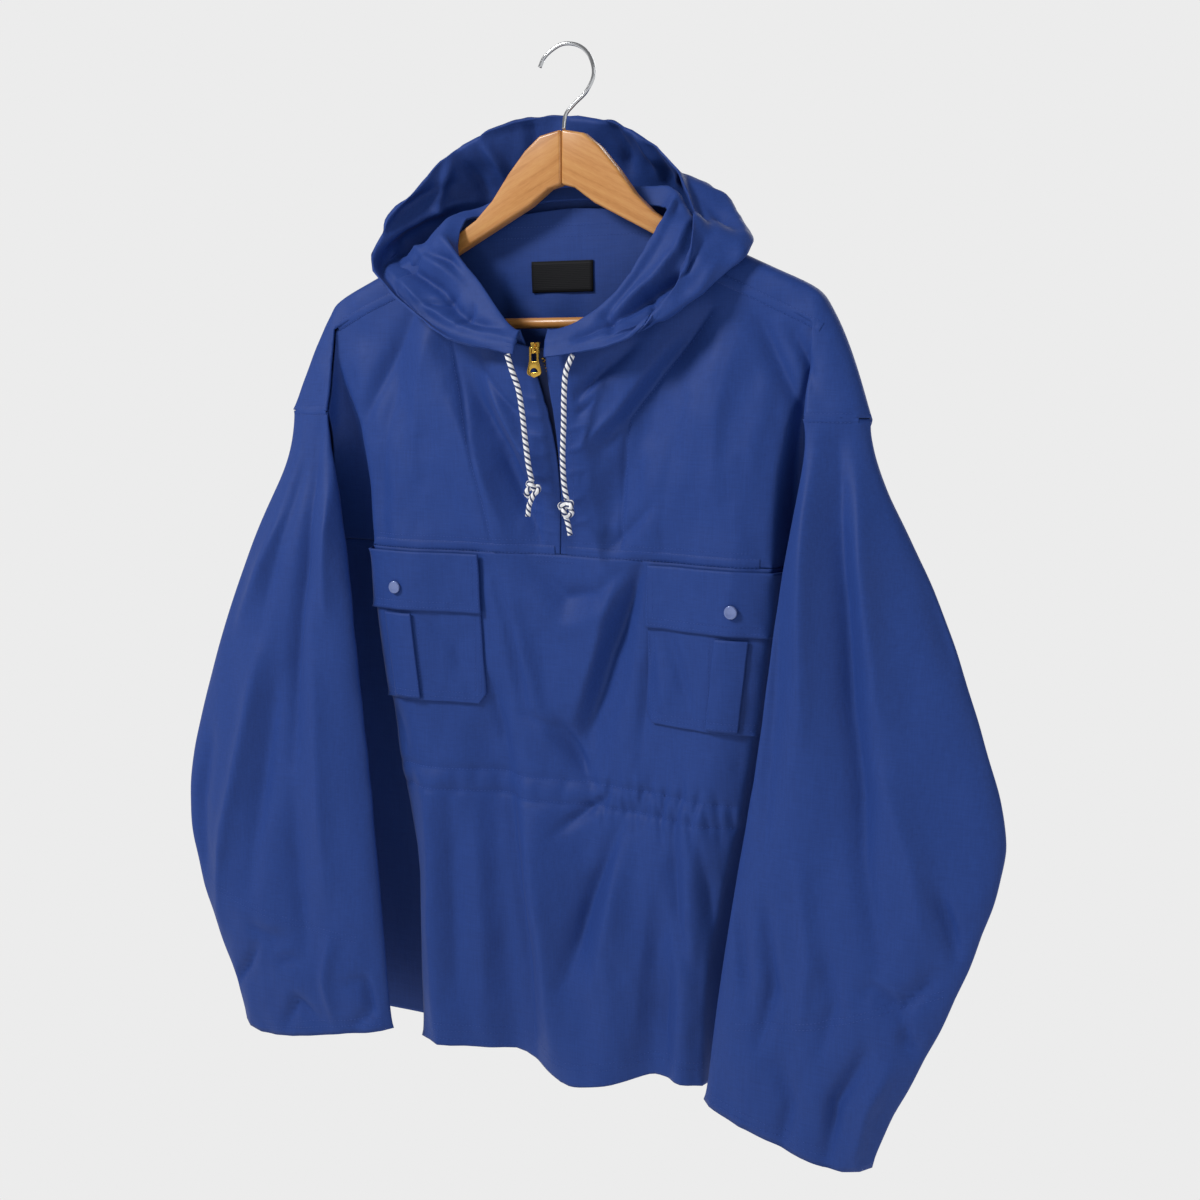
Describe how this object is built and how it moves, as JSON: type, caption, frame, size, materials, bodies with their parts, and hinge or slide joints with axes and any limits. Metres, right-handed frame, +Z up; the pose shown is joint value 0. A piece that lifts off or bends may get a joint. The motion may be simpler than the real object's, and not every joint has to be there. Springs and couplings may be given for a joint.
{
  "type": "hooded pullover anorak on a wooden clothes hanger",
  "caption": "Hooded pullover anorak with a half zip, flap pockets and a drawn-in waist, hanging on a wooden clothes hanger with a wire hook and a trouser bar.",
  "frame": {"origin": "inside of the hook's crown, at the point where a rail or peg carries the hanger", "axes": "+Z up, -Y the garment's front, +X to the right of a person who faces the front"},
  "size_m": [0.764, 0.1755, 0.8823],
  "materials": {
    "cloth": "plain-woven cotton, fine, slightly crisp",
    "cord": "braided white cord with a fine dark spiral",
    "label": "woven black label, bare",
    "brass": "polished",
    "snap": "glossy enamel, grey-blue",
    "wood": "clear varnish",
    "steel": "polished wire"
  },
  "bodies": {
    "anorak": {"chest_left": "cloth", "chest_right": "cloth", "front_lower": "cloth", "back": "cloth", "sleeve_left": "cloth", "sleeve_right": "cloth", "hood": "cloth", "pocket_left": "cloth", "pocket_right": "cloth", "pocket_strip_left": "cloth", "pocket_strip_right": "cloth", "flap_left": "cloth", "flap_right": "cloth", "snap_left": "snap", "snap_right": "snap", "zip_tape": "cloth", "zip_slider": "brass", "drawcord_left": "cord", "drawcord_knot_left": "cord", "drawcord_right": "cord", "drawcord_knot_right": "cord", "label": "label", "hanger_arm_left": "wood", "hanger_arm_right": "wood", "hanger_bar": "wood", "hanger_hook": "steel"},
    "pull": {"zip_pull": "brass"}
  },
  "joints": [
    {"name": "pull_hinge", "type": "hinge", "parent": "anorak", "child": "pull", "pos_m": [-0.003, -0.0487, -0.2435], "axis": [1, 0, 0], "range_deg": [-150, 0]}
  ]
}
